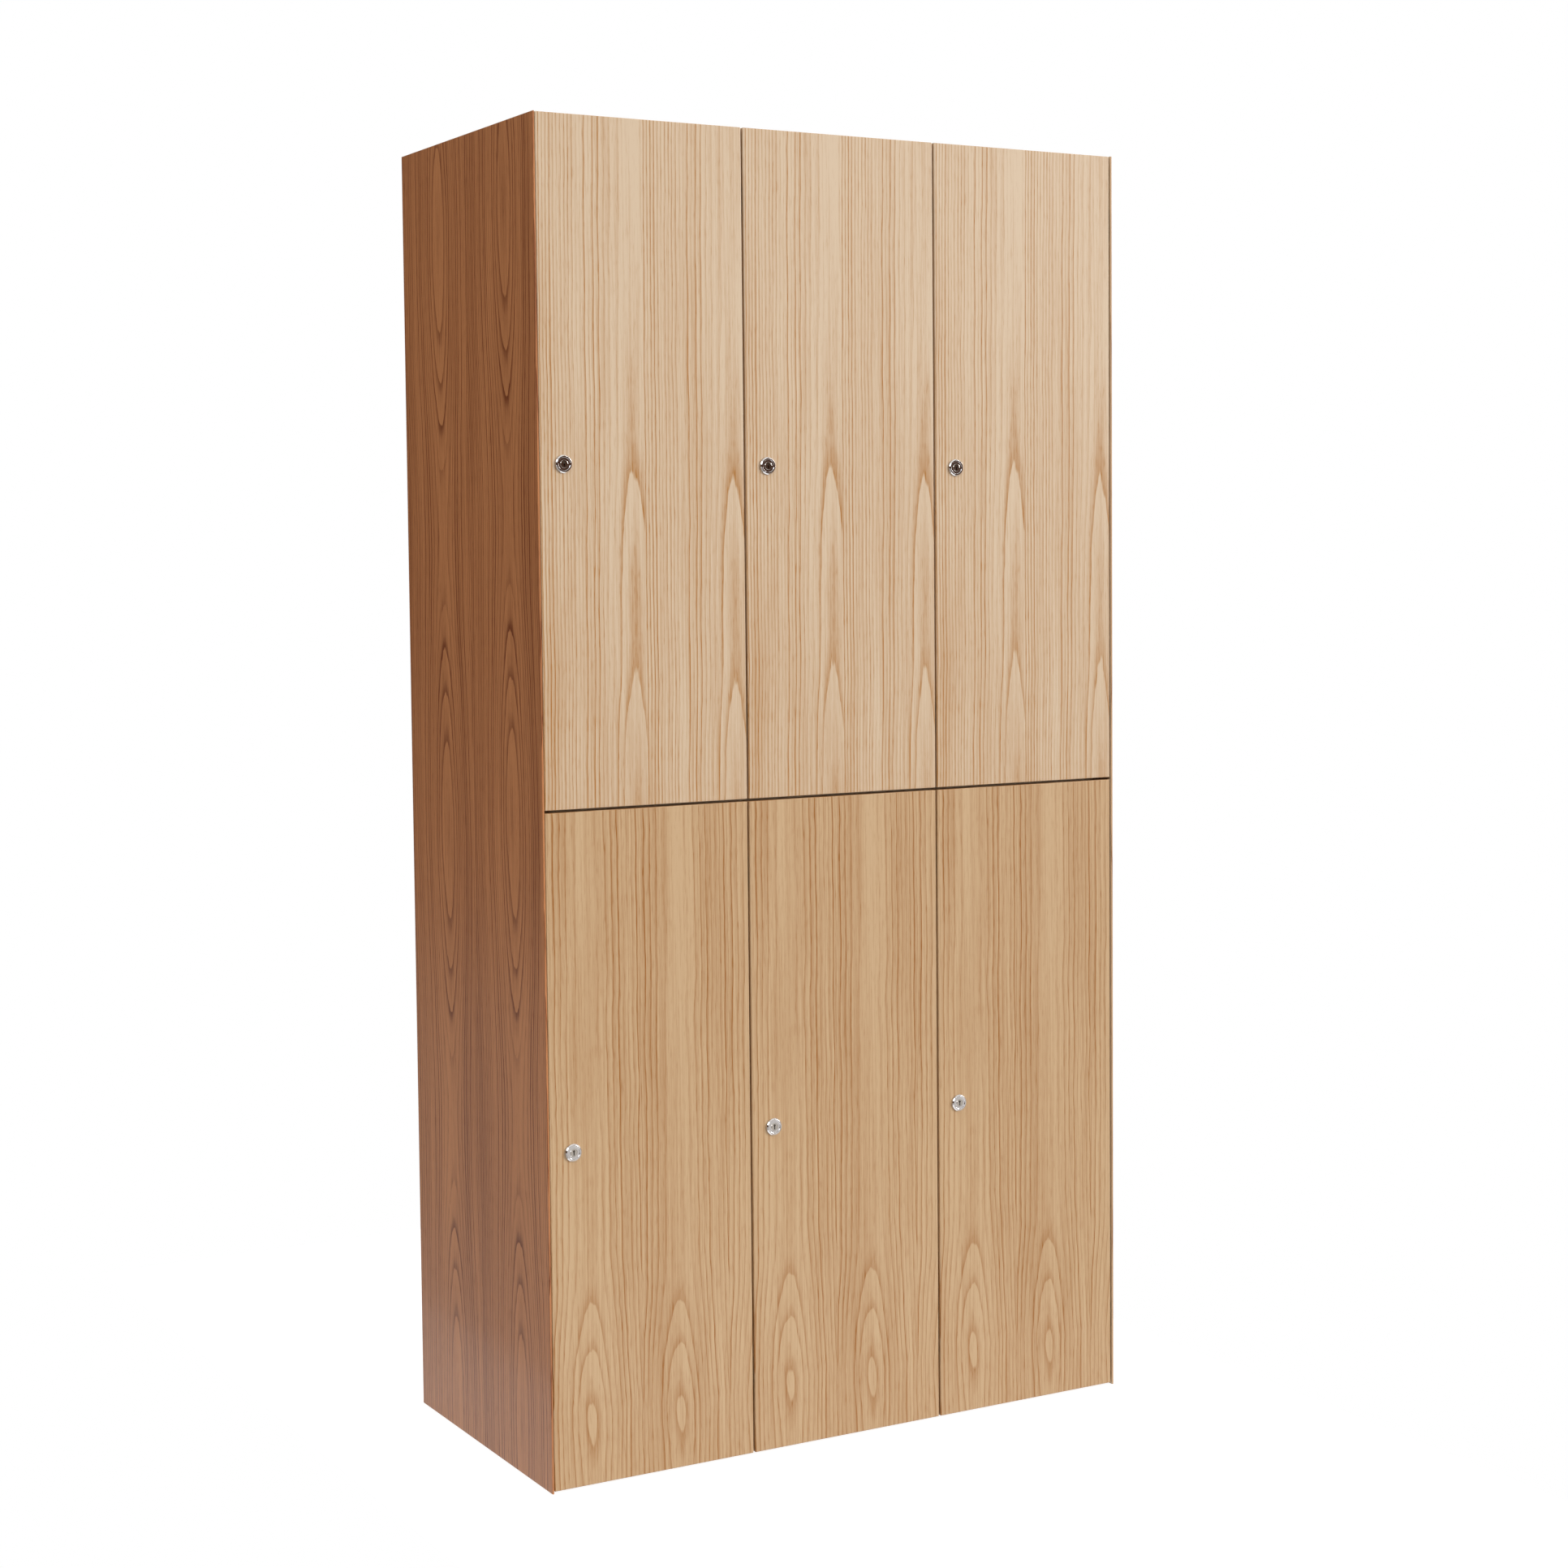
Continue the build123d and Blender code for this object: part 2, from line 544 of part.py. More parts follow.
def cam_places():
    """Each cam fitting: the joint's middle, the bolt's direction and the cam's face."""
    for y in CAM_ROWS:
        for side in (LEFTWARD, RIGHTWARD):
            yield (side[0] * END_INNER, y, HEIGHT - BOARD / 2), side, DOWNWARD
            yield (side[0] * END_INNER, y, BOARD / 2), side, UPWARD
        for x in PARTITION_X:
            yield (x, y, TOP_UNDER), UPWARD, LEFTWARD
            yield (x, y, BOARD), DOWNWARD, LEFTWARD
        for left, right in zip(BAY_LEFT, BAY_RIGHT):
            yield (left, y, SHELF_Z), LEFTWARD, DOWNWARD
            yield (right, y, SHELF_Z), RIGHTWARD, DOWNWARD


# ---------------------------------------------------------------- hooks, buffers, anchors
HOOK_PLATE = (52.0, 18.0, 2.0)
HOOK_SCREW_X = 20.0
HOOK_STEM_RADIUS, HOOK_STEM = 4.0, 14.0
HOOK_WIRE, HOOK_BEND, HOOK_ARC = 2.5, 11.0, 165.0
HOOK_TIP = 3.6
HOOK_Y = 0.0
BUFFER_RADIUS, BUFFER_THICKNESS, BUFFER_EASE = 3.0, 1.7, 0.6
BUFFER_FROM_EDGE, BUFFER_FROM_END = 3.8, 60.0
RAIL_HEIGHT = 80.0
RAIL_SCREW_X = 70.0


def coat_hook():
    """A double hook under a board, its plate's upper face at the origin."""
    length, width, thickness = HOOK_PLATE
    plate = Box(length, width, thickness, align=(Align.CENTER, Align.CENTER, Align.MAX))
    hook = fillet(plate.edges().filter_by(Axis.Z), width / 3)
    hook += rod((0, 0, -1), DOWNWARD, HOOK_STEM_RADIUS, HOOK_STEM)
    start, low = 1.0, -HOOK_STEM
    bend = Axis((start + HOOK_BEND, 0, low), FORWARD)
    prong = revolve(Pos(start, 0, low) * Circle(HOOK_WIRE), bend, HOOK_ARC)
    turn = radians(HOOK_ARC)
    tip = (start + HOOK_BEND * (1 - cos(turn)), 0, low - HOOK_BEND * sin(turn))
    prong += Pos(*tip) * Sphere(HOOK_TIP)
    return hook + prong + mirror(prong, Plane.YZ)


def hook_places():
    """The middle of the underside above each compartment."""
    for column, tier in PLACES:
        under = TOP_UNDER if tier == TIERS - 1 else SHELF_Z - BOARD / 2
        yield ((BAY_LEFT[column] + BAY_RIGHT[column]) / 2, HOOK_Y, under)


def hook_screws():
    """The two screws of every coat hook."""
    for x, y, z in hook_places():
        for side in (-HOOK_SCREW_X, HOOK_SCREW_X):
            yield SHORT_SCREW, (x + side, y, z - HOOK_PLATE[2]), UPWARD


def door_buffers():
    """The rubber dots that each door's lock side closes against."""
    for column, tier in PLACES:
        x, low = DOOR_LEFT[column] + BUFFER_FROM_EDGE, DOOR_BOTTOM[tier]
        for z in (low + BUFFER_FROM_END, low + DOOR_HEIGHT - BUFFER_FROM_END):
            dot = rod((x, CASE_FRONT, z), FORWARD, BUFFER_RADIUS, BUFFER_THICKNESS)
            yield fillet(dot.edges().sort_by(Axis.Y)[0], BUFFER_EASE)


def anchor_rails():
    """The batten inside the top rear of each upper compartment."""
    y, z = (BOARD_BACK - BOARD, BOARD_BACK), (TOP_UNDER - RAIL_HEIGHT, TOP_UNDER)
    for bay in zip(BAY_LEFT, BAY_RIGHT):
        yield block(bay, y, z)


def anchor_x():
    """Where the wall anchors go, one to a column."""
    return [ANCHOR_SPACING * (c - (COLUMNS - 1) / 2) for c in range(COLUMNS)]


def anchor_holes():
    """The wall anchors' holes, through the rails and the back panel."""
    start, z = BOARD_BACK - BOARD - 1, HEIGHT - ANCHOR_BELOW_TOP
    for x in anchor_x():
        yield rod((x, start, z), BACKWARD, ANCHOR_RADIUS, CASE_BACK - start + 1)


# ---------------------------------------------------------------- case boards
BACK_SCREW_ROWS = (0.07, 0.27, 0.73, 0.93)  # up the uprights, as parts of the height


def back_screws():
    """The screws through the back panel into every board that it closes."""
    boards = [BOARD / 2, SHELF_Z, HEIGHT - BOARD / 2]
    rows = [part * HEIGHT for part in BACK_SCREW_ROWS]
    rebate = END_INNER + BACK_REBATE / 2
    seats = [(x, z) for x in anchor_x() for z in boards]
    seats += [(x, z) for x in (-rebate, *PARTITION_X, rebate) for z in rows]
    for x in anchor_x():
        for side in (-RAIL_SCREW_X, RAIL_SCREW_X):
            seats.append((x + side, HEIGHT - ANCHOR_BELOW_TOP))
    for x, z in seats:
        yield LONG_SCREW, (x, CASE_BACK, z), FORWARD


def end_panel():
    """The right end panel: a board with a lip beside the doors and a rebate at the back."""
    start, whole = END_INNER - 1, (-1, HEIGHT + 1)
    panel = block((END_INNER, END_OUTER), (DOOR_FRONT, CASE_BACK), (0, HEIGHT))
    panel -= block((start, END_FACE), (DOOR_FRONT - 1, CASE_FRONT), whole)
    panel -= block((start, END_INNER + BACK_REBATE), (BOARD_BACK, CASE_BACK + 1), whole)
    outer = panel.faces().sort_by(Axis.X)[-1]
    return fillet(outer.edges(), LIP_EASE)


def partition(x):
    """An upright between two columns."""
    return block(grown((x, x), BOARD / 2), (CASE_FRONT, BOARD_BACK), (BOARD, TOP_UNDER))


def tier_shelf(column):
    """The board between one column's two compartments."""
    sides = (BAY_LEFT[column], BAY_RIGHT[column])
    return block(sides, (CASE_FRONT, BOARD_BACK), grown((SHELF_Z, SHELF_Z), BOARD / 2))


def cross_board(z):
    """The top or bottom board, between the end panels."""
    return block((-END_INNER, END_INNER), (CASE_FRONT, BOARD_BACK), z)


def back_panel():
    """The panel in the end panels' rebates, flush with their back edges."""
    half = END_INNER + BACK_REBATE - BACK_FIT
    return block((-half, half), (BOARD_BACK, CASE_BACK), (BACK_FIT, HEIGHT - BACK_FIT))


def at_lock(shape, column, tier):
    """A shape made about the lock's axis, moved to one door."""
    return Pos(LOCK_X[column], DOOR_BACK, LOCK_Z[tier]) * shape


def save_case():
    """Every fixed node: the boards, what joins them and what is screwed to them."""
    fasteners = [*back_screws(), *hinge_arm_screws(), *strike_screws(), *hook_screws()]
    screws, holes = screws_at(fasteners)
    cams = []
    for middle, bolt_way, face in cam_places():
        seat = Plane(origin=middle, x_dir=bolt_way, z_dir=face)
        cams += [seat * piece for piece in cam_fitting()]
        holes += [seat * hole for hole in cam_holes()]
    holes += anchor_holes()
    holes += [at_lock(bolt_mortise(), *where) for where in PLACES]
    recesses = [at_lock(strike_recess(), *where) for where in PLACES]

    save("left_end_panel", cut(mirror(end_panel(), Plane.YZ), holes + recesses))
    save("right_end_panel", cut(end_panel(), holes))
    for number, x in enumerate(PARTITION_X, 1):
        save(f"partition_{number}", cut(partition(x), holes))
    for column in range(COLUMNS):
        save(f"tier_shelf_{column + 1}", cut(tier_shelf(column), holes))
    save("top_panel", cut(cross_board((TOP_UNDER, HEIGHT)), holes))
    save("bottom_panel", cut(cross_board((0, BOARD)), holes))
    save("back_panel", cut(back_panel(), holes))
    save("anchor_rails", *[cut(rail, holes) for rail in anchor_rails()])

    arms, pins = [], []
    for middle, wall in hinge_places():
        arms.append(cut(Pos(*middle) * hinge_arm(wall), holes))
        pins.append(Pos(*middle) * hinge_pin())
    save("hinge_arms", *arms, *pins)
    plates = [at_lock(strike_plate(), *where) for where in PLACES]
    save("strike_plates", *[cut(plate, holes) for plate in plates])
    blocks = []
    for column, tier in PLACES:
        if column:
            blocks.append(at_lock(strike_block(BAY_LEFT[column] - LOCK_X[column]), column, tier))
    save("strike_blocks", *[cut(packer, holes + recesses) for packer in blocks])
    save("coat_hooks", *[cut(Pos(*middle) * coat_hook(), holes) for middle in hook_places()])
    save("door_buffers", *door_buffers())
    save("cam_fittings", *cams)
    save("case_screws", *screws)


# ---------------------------------------------------------------- doors and their locks
def door(column, tier):
    """One slab door with eased edges, hinge notches and the lock's hole."""
    left, low = DOOR_LEFT[column], DOOR_BOTTOM[tier]
    slab = block((left, left + DOOR_WIDTH), (DOOR_FRONT, DOOR_BACK), (low, low + DOOR_HEIGHT))
    slab = fillet(slab.edges(), EDGE_EASE)
    for z in HINGE_Z[tier]:
        slab -= Pos(PIN_X[column], PIN_Y, z) * hinge_notch()
    centre = (LOCK_X[column], DOOR_FRONT - 1, LOCK_Z[tier])
    return slab - rod(centre, BACKWARD, BARREL_RADIUS + 2 * HOLE_FIT, DOOR_THICKNESS + 2)


def save_doors():
    """Each door with its hinge leaves and its lock's pieces."""
    lock_pieces = {
        "lock_plug": [lock_plug()],
        "lock_bolt": [lock_bolt()],
        "coin_gate": [coin_gate()],
        "lock_cylinder": [lock_cylinder(), lock_nut()],
    }
    case, leaf = lock_case(), hinge_leaf()
    for number, (column, tier) in enumerate(PLACES, 1):
        leaf_fasteners, leaf_holes = screws_at(leaf_screws(column, tier))
        case_fasteners, case_holes = screws_at(case_screws_at(column, tier))
        save(f"door_{number}", cut(door(column, tier), leaf_holes + case_holes))
        leaves = [Pos(PIN_X[column], PIN_Y, z) * leaf for z in HINGE_Z[tier]]
        save(f"hinge_leaf_{number}", *[cut(one, leaf_holes) for one in leaves], *leaf_fasteners)
        save(f"lock_case_{number}", cut(at_lock(case, column, tier), case_holes), *case_fasteners)
        for name, pieces in lock_pieces.items():
            save(f"{name}_{number}", *[at_lock(piece, column, tier) for piece in pieces])


os.makedirs("parts", exist_ok=True)
save_case()
save_doors()
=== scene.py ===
"""The looks of the coin operated locker: lacquered oak outside, laminate and metal inside.

All lengths are in metres, in the CAD model's frame: X to the right as seen from the front,
Y towards the back, Z up, with the origin on the floor.
"""
import math

import bpy
from mathutils import Matrix, Vector


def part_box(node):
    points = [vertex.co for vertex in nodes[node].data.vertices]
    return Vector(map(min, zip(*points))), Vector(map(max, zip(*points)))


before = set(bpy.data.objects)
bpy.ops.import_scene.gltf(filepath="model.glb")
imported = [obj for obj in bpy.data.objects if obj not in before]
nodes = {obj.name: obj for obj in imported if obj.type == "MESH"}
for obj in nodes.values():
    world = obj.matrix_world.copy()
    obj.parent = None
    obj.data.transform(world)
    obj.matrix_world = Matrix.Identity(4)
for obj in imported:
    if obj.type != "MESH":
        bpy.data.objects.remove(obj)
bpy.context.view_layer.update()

DOORS = range(1, 7)
UPPER_DOORS = range(1, 4)
COLUMNS = range(1, 4)
MM = 0.001
FACING = 0.6  # a face looks along an axis when this much of its direction does


# ---------------------------------------------------------------- colours
def colour(red, green, blue):
    """A linear colour from three sRGB numbers out of 255."""
    def linear(value):
        value /= 255
        return value / 12.92 if value <= 0.04045 else ((value + 0.055) / 1.055) ** 2.4

    return linear(red), linear(green), linear(blue), 1.0


# ---------------------------------------------------------------- node trees
class Tree:
    """A material's or world's nodes, each added and joined in one call."""

    def __init__(self, owner):
        owner.use_nodes = True
        self.tree = owner.node_tree
        self.tree.nodes.clear()

    def put(self, socket, value):
        """Join a socket to another, or give it a fixed value."""
        if isinstance(value, bpy.types.NodeSocket):
            self.tree.links.new(value, socket)
        else:
            socket.default_value = value

    def node(self, kind, inputs=None, **settings):
        """A new node with these settings, and inputs by name or number."""
        made = self.tree.nodes.new(kind)
        for name, value in settings.items():
            setattr(made, name, value)
        for name, value in (inputs or {}).items():
            self.put(made.inputs[name], value)
        return made

    def math(self, operation, *values):
        made = self.node("ShaderNodeMath", operation=operation)
        for socket, value in zip(made.inputs, values):
            self.put(socket, value)
        return made.outputs[0]

    def add(self, a, b):
        return self.math("ADD", a, b)

    def less(self, a, b):
        return self.math("SUBTRACT", a, b)

    def times(self, a, b):
        return self.math("MULTIPLY", a, b)

    def line(self, value, slope, start):
        """A straight line: slope times the value, plus its height at zero."""
        return self.add(self.times(value, slope), start)

    def spread(self, noise, width):
        """Noise from 0 to 1 moved to lie about 0, and given this width."""
        return self.times(self.less(noise, 0.5), width)

    def distance(self, a, b):
        """How far a point is from zero, from its two coordinates."""
        return self.math("SQRT", self.add(self.times(a, a), self.times(b, b)))

    def vector(self, x, y, z):
        return self.node("ShaderNodeCombineXYZ", {0: x, 1: y, 2: z}).outputs[0]

    def parts(self, vector):
        return self.node("ShaderNodeSeparateXYZ", {0: vector}).outputs

    def noise(self, vector, scale=1.0, detail=2.0, roughness=0.5):
        """Noise from 0 to 1 about 0.5."""
        inputs = {"Vector": vector, "Scale": scale, "Detail": detail, "Roughness": roughness}
        return self.node("ShaderNodeTexNoise", inputs).outputs[0]

    def stretch(self, vector, scales):
        """A vector with each part times its own scale."""
        return self.node("ShaderNodeMapping", {"Vector": vector, "Scale": scales}).outputs[0]

    def between(self, value, low, high):
        """A value spread from 0 at one limit to 1 at the other, and held there."""
        inputs = {"Value": value, "From Min": low, "From Max": high}
        return self.node("ShaderNodeMapRange", inputs, clamp=True).outputs[0]

    def mix(self, share, first, second):
        """A colour between two others."""
        made = self.node("ShaderNodeMix", data_type="RGBA")
        for name, value in (("Factor_Float", share), ("A_Color", first), ("B_Color", second)):
            socket = next(s for s in made.inputs if s.identifier == name)
            self.put(socket, value)
        return next(s for s in made.outputs if s.identifier == "Result_Color")

    def ramp(self, value, stops):
        """A number read off a curve of straight lines through (place, height) stops."""
        made = self.node("ShaderNodeValToRGB", {0: value})
        elements = made.color_ramp.elements
        while len(elements) < len(stops):
            elements.new(1.0)
        for element, (where, height) in zip(elements, stops):
            element.position = where
            element.color = (height, height, height, 1.0)
        return made.outputs[0]

    def bump(self, height, distance, strength):
        inputs = {"Height": height, "Distance": distance, "Strength": strength}
        return self.node("ShaderNodeBump", inputs).outputs[0]

    def here(self):
        """The place on the surface, in the model's frame."""
        return self.node("ShaderNodeTexCoord").outputs["Object"]

    def facing(self):
        """The surface's own direction, in the model's frame."""
        return self.node("ShaderNodeTexCoord").outputs["Normal"]

    def finish(self, **inputs):
        """The surface shader, with its inputs named in lower case."""
        shader = self.node("ShaderNodeBsdfPrincipled")
        for name, value in inputs.items():
            self.put(shader.inputs[name.replace("_", " ").title().replace("Ior", "IOR")], value)
        self.node("ShaderNodeOutputMaterial", {"Surface": shader.outputs[0]})


def material(name):
    """A new material and its nodes."""
    made = bpy.data.materials.new(name)
    return made, Tree(made)


def dress(node, made):
    """Give a CAD node a material."""
    slots = nodes[node].material_slots
    if not slots:
        nodes[node].data.materials.append(made)
    for slot in slots:
        slot.material = made


# ---------------------------------------------------------------- oak
# A veneer's figure is where the log's rings meet the slicing plane. Each leaf has a line over
# the log's heart. The plane's depth below the heart changes up the board: where it grows
# upward the rings make flames that point up, where it shrinks they point down, and where it
# is least they close into ovals. Where it stays the same the grain is straight.
def flame_depth(t, z):
    """Tall flames that point up in the lower half of an upper door, straight grain above."""
    flame_start, flame_spacing, swing = 0.12, 0.29, 0.7 * MM
    flame_slope, flame_foot = 0.01655, 0.0431
    straight_slope, straight_foot = 0.0010, 0.0530
    rounding = 2.0 * MM
    turns = t.times(t.less(z, flame_start), 2 * math.pi / flame_spacing)
    rising = t.add(t.line(z, flame_slope, flame_foot), t.times(t.math("SINE", turns), swing))
    level = t.line(z, straight_slope, straight_foot)
    return t.math("SMOOTH_MIN", rising, level, rounding)


def oval_depth(t, z):
    """Nested ovals near the foot of a lower door, straight grain above."""
    middle, round_off, least = 0.095, 0.020, 0.025
    rise, fall = 0.088, 0.050
    straight_slope, straight_foot = 0.004, 0.0145
    rounding = 4.0 * MM
    from_middle = t.less(z, middle)
    rounded = t.distance(from_middle, round_off)
    valley = t.add(t.times(rounded, (rise + fall) / 2), t.times(from_middle, (rise - fall) / 2))
    level = t.line(z, straight_slope, straight_foot)
    return t.add(t.math("SMOOTH_MIN", valley, level, rounding), least)


def wave_depth(t, z):
    """Flames that point down, up, down and up again along an end panel."""
    deepest, spacing, swing, mean = 1.31, 0.83, 0.011, 0.050
    turns = t.times(t.less(z, deepest), 2 * math.pi / spacing)
    return t.line(t.math("COSINE", turns), swing, mean)


# Noise scales, across the grain and along it. A third one is from leaf to leaf.
SWAY_SCALES, WAVE_SCALES = (3.0, 2.2), (14.0, 12.0)
WAVER_SCALES, TREMOR_SCALES = (34.0, 5.0, 9.0), (190.0, 24.0, 9.0)
PORE_SCALES, FIBRE_SCALES, BAND_SCALES = (620.0, 40.0), (330.0, 4.0), (17.0, 1.1)
RING_NOISE_SCALE = 70.0
FINE_ROUGHNESS = 0.6
SWAY, TREMOR = 12.0 * MM, 0.9 * MM
LEAF_SEED, BAND_SEED = 0.04, 7.0
UNEVEN_RINGS = 0.6  # in rings
PALEST_RING = 0.30
PORE_EDGES = (0.52, 0.70)  # in the noise
PORES_IN_LATE_WOOD = 0.35
PORE_DEPTH, LINE_DEPTH = 0.8, 0.2  # shares of the grain's depth
LINE_GAIN = 10.0  # how fast the lines darken away from the heart, per metre
# How dark the wood is through one ring, from its inner edge (0) to its outer edge (1).
EARLY_WOOD = [(0.0, 0.05), (0.04, 1.0), (0.14, 0.80), (0.34, 0.30), (0.70, 0.08), (1.0, 0.05)]


def grain_noise(t, across, along, seed, scales, detail=2.0, roughness=0.5):
    """Noise from 0 to 1, with these scales across the grain and along it."""
    place = t.vector(t.times(across, scales[0]), t.times(along, scales[1]), seed)
    return t.noise(place, 1.0, detail, roughness)


def ring_radius(t, figure, from_heart, z, leaf, seed):
    """How far a place on the leaf is from the middle of the log, with the log's own swaying."""
    sway = t.spread(grain_noise(t, from_heart, z, seed, SWAY_SCALES), SWAY)
    wave = t.spread(grain_noise(t, from_heart, z, seed, WAVE_SCALES), figure["wave"])
    swayed = t.add(t.add(from_heart, sway), wave)
    place = t.vector(from_heart, z, t.add(t.times(leaf, LEAF_SEED), seed))
    waver = t.spread(t.noise(t.stretch(place, WAVER_SCALES)), figure["waver"])
    tremor = t.spread(t.noise(t.stretch(place, TREMOR_SCALES)), TREMOR)
    depth = t.add(figure["depth"](t, z), t.add(waver, tremor))
    return t.distance(swayed, depth)


def ring_lines(t, figure, from_heart, z, leaf, seed):
    """The dark early wood of each ring, darker in some years, and palest over the heart."""
    radius = ring_radius(t, figure, from_heart, z, leaf, seed)
    uneven = t.noise(t.vector(t.times(radius, RING_NOISE_SCALE), 0.0, seed), 1.0, 1.0)
    rings = t.add(t.math("DIVIDE", radius, figure["ring"]), t.times(uneven, UNEVEN_RINGS))
    year = t.add(t.math("FLOOR", rings), 0.5)
    luck = t.node("ShaderNodeTexWhiteNoise", {"W": year}, noise_dimensions="1D").outputs["Value"]
    early = t.ramp(t.math("FRACT", rings), EARLY_WOOD)
    lines = t.times(early, t.line(luck, 1.0 - PALEST_RING, PALEST_RING))
    gain = LINE_GAIN * (1.0 - figure["middle"])
    return t.times(lines, t.line(t.math("ABSOLUTE", from_heart), gain, figure["middle"]))


def oak(name, across, along, figure, light, dark, seed, lining=None):
    """Lacquered oak veneer. `across` and `along` make their lengths from the node tree.

    `lining` is the direction along X of a face that has the inside's pale laminate.
    """
    made, t = material(name)
    x = across(t)
    leaf_place = t.math("DIVIDE", x, figure["leaf"])
    leaf = t.math("FLOOR", leaf_place)
    from_heart = t.times(t.less(t.math("FRACT", leaf_place), figure["heart"]), figure["leaf"])
    z = t.add(along(t), t.times(leaf, figure["slip"]))

    lines = ring_lines(t, figure, from_heart, z, leaf, seed)
    pores = t.between(grain_noise(t, x, z, seed, PORE_SCALES, 2.0, FINE_ROUGHNESS), *PORE_EDGES)
    pores = t.times(pores, t.line(lines, 1.0 - PORES_IN_LATE_WOOD, PORES_IN_LATE_WOOD))
    fibre = grain_noise(t, x, z, seed, FIBRE_SCALES, 3.0, FINE_ROUGHNESS)
    bands = grain_noise(t, x, z, seed + BAND_SEED, BAND_SCALES)

    shade = t.add(t.times(lines, figure["line"]), t.times(pores, figure["pore"]))
    shade = t.add(shade, t.spread(fibre, 1.0))
    shade = t.add(shade, t.spread(bands, figure["band"]))
    # Painted sheen: a negative slope makes the wood paler towards the board's top, as on the
    # upper doors.
    shade = t.add(shade, t.line(z, figure["painted_sheen_slope"], figure["base"]))
    wood = t.mix(t.between(shade, 0.0, 1.0), light, dark)
    if lining:
        lined = t.math("GREATER_THAN", t.times(t.parts(t.facing())[0], lining), FACING)
        laminate_shade = t.add(0.3, t.less(fibre, 0.5))
        wood = t.mix(lined, wood, t.mix(laminate_shade, LINING_LIGHT, LINING_DARK))
    height = t.less(1.0, t.add(t.times(pores, PORE_DEPTH), t.times(lines, LINE_DEPTH)))
    t.finish(
        base_color=wood,
        roughness=t.line(pores, 0.14, 0.44),
        specular_ior_level=0.32,
        coat_weight=0.18,
        coat_roughness=0.15,
        normal=t.bump(height, 0.12 * MM, 0.6),
    )
    return made


def board_lengths(corner, along_y):
    """Functions for the lengths across and along a board's grain, from its low corner.

    On the main faces and the upright edges the grain runs up. On the end edges it runs
    along the edge.
    """
    def split(t):
        x, y, z = t.parts(t.here())
        x, y, z = t.less(x, corner.x), t.less(y, corner.y), t.less(z, corner.z)
        if along_y:
            x, y = y, x
        on_end = t.math("GREATER_THAN", t.math("ABSOLUTE", t.parts(t.facing())[2]), FACING)
        return x, y, z, on_end

    def across(t):
        x, y, _, on_end = split(t)
        return t.add(y, t.times(x, t.less(1.0, on_end)))

    def along(t):
        x, _, z, on_end = split(t)
        return t.add(t.times(z, t.less(1.0, on_end)), t.times(x, on_end))

    return across, along


# The upper doors' painted_sheen_slope is a painted sheen, paler towards their tops. The other
# boards have none.
UPPER_FIGURE = {
    "leaf": 0.1525, "heart": 0.895, "slip": 0.02, "ring": 4.8 * MM, "depth": flame_depth,
    "waver": 2.0 * MM, "wave": 3.0 * MM, "middle": 0.75,
    "line": 1.0, "pore": 0.50, "band": 0.55, "painted_sheen_slope": -0.14, "base": 0.13,
}
LOWER_FIGURE = {
    "leaf": 0.134, "heart": 0.43, "slip": 0.012, "ring": 5.8 * MM, "depth": oval_depth,
    "waver": 3.0 * MM, "wave": 7.0 * MM, "middle": 0.42,
    "line": 1.20, "pore": 0.55, "band": 0.80, "painted_sheen_slope": 0.0, "base": 0.10,
}
END_FIGURE = {
    "leaf": 0.2285, "heart": 0.42, "slip": 0.03, "ring": 5.0 * MM, "depth": wave_depth,
    "waver": 2.0 * MM, "wave": 3.0 * MM, "middle": 0.7,
    "line": 1.30, "pore": 0.55, "band": 0.75, "painted_sheen_slope": 0.0, "base": 0.06,
}

UPPER_LIGHT, UPPER_DARK = colour(210, 190, 164), colour(166, 111, 34)
LOWER_LIGHT, LOWER_DARK = colour(199, 170, 133), colour(150, 93, 18)
# The left end panel's colours are the oak's own, made darker and redder with painted shade.
SHADED_END_LIGHT, SHADED_END_DARK = colour(198, 135, 87), colour(110, 48, 6)
FAR_END_LIGHT, FAR_END_DARK = colour(194, 158, 120), colour(140, 88, 36)
LINING_LIGHT, LINING_DARK = colour(226, 206, 176), colour(205, 178, 140)

# Where in the noise each board's figure comes from, and how unlike the doors of a row are.
UPPER_SEED, LOWER_SEED, LEFT_SEED, RIGHT_SEED = 3.0, 11.0, 21.0, 27.0
DOOR_STEP = 0.03


def dress_oak():
    """The doors and end panels. Leaves of one flitch are nearly alike, so doors differ little."""
    for number in DOORS:
        upper = number in UPPER_DOORS
        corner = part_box(f"door_{number}")[0]
        across, along = board_lengths(corner, along_y=False)
        figure = UPPER_FIGURE if upper else LOWER_FIGURE
        light, dark = (UPPER_LIGHT, UPPER_DARK) if upper else (LOWER_LIGHT, LOWER_DARK)
        seed = (UPPER_SEED if upper else LOWER_SEED) + DOOR_STEP * number
        made = oak(f"oak_door_{number}", across, along, figure, light, dark, seed)
        dress(f"door_{number}", made)
    # The left panel's colours carry painted shade. The right panel's are nearer the doors' own
    # colours.
    ends = (
        ("left", LEFT_SEED, SHADED_END_LIGHT, SHADED_END_DARK, 1.0),
        ("right", RIGHT_SEED, FAR_END_LIGHT, FAR_END_DARK, -1.0),
    )
    for side, seed, light, dark, inward in ends:
        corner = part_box(f"{side}_end_panel")[0]
        across, along = board_lengths(corner, along_y=True)
        made = oak(f"oak_end_{side}", across, along, END_FIGURE, light, dark, seed, lining=inward)
        dress(f"{side}_end_panel", made)


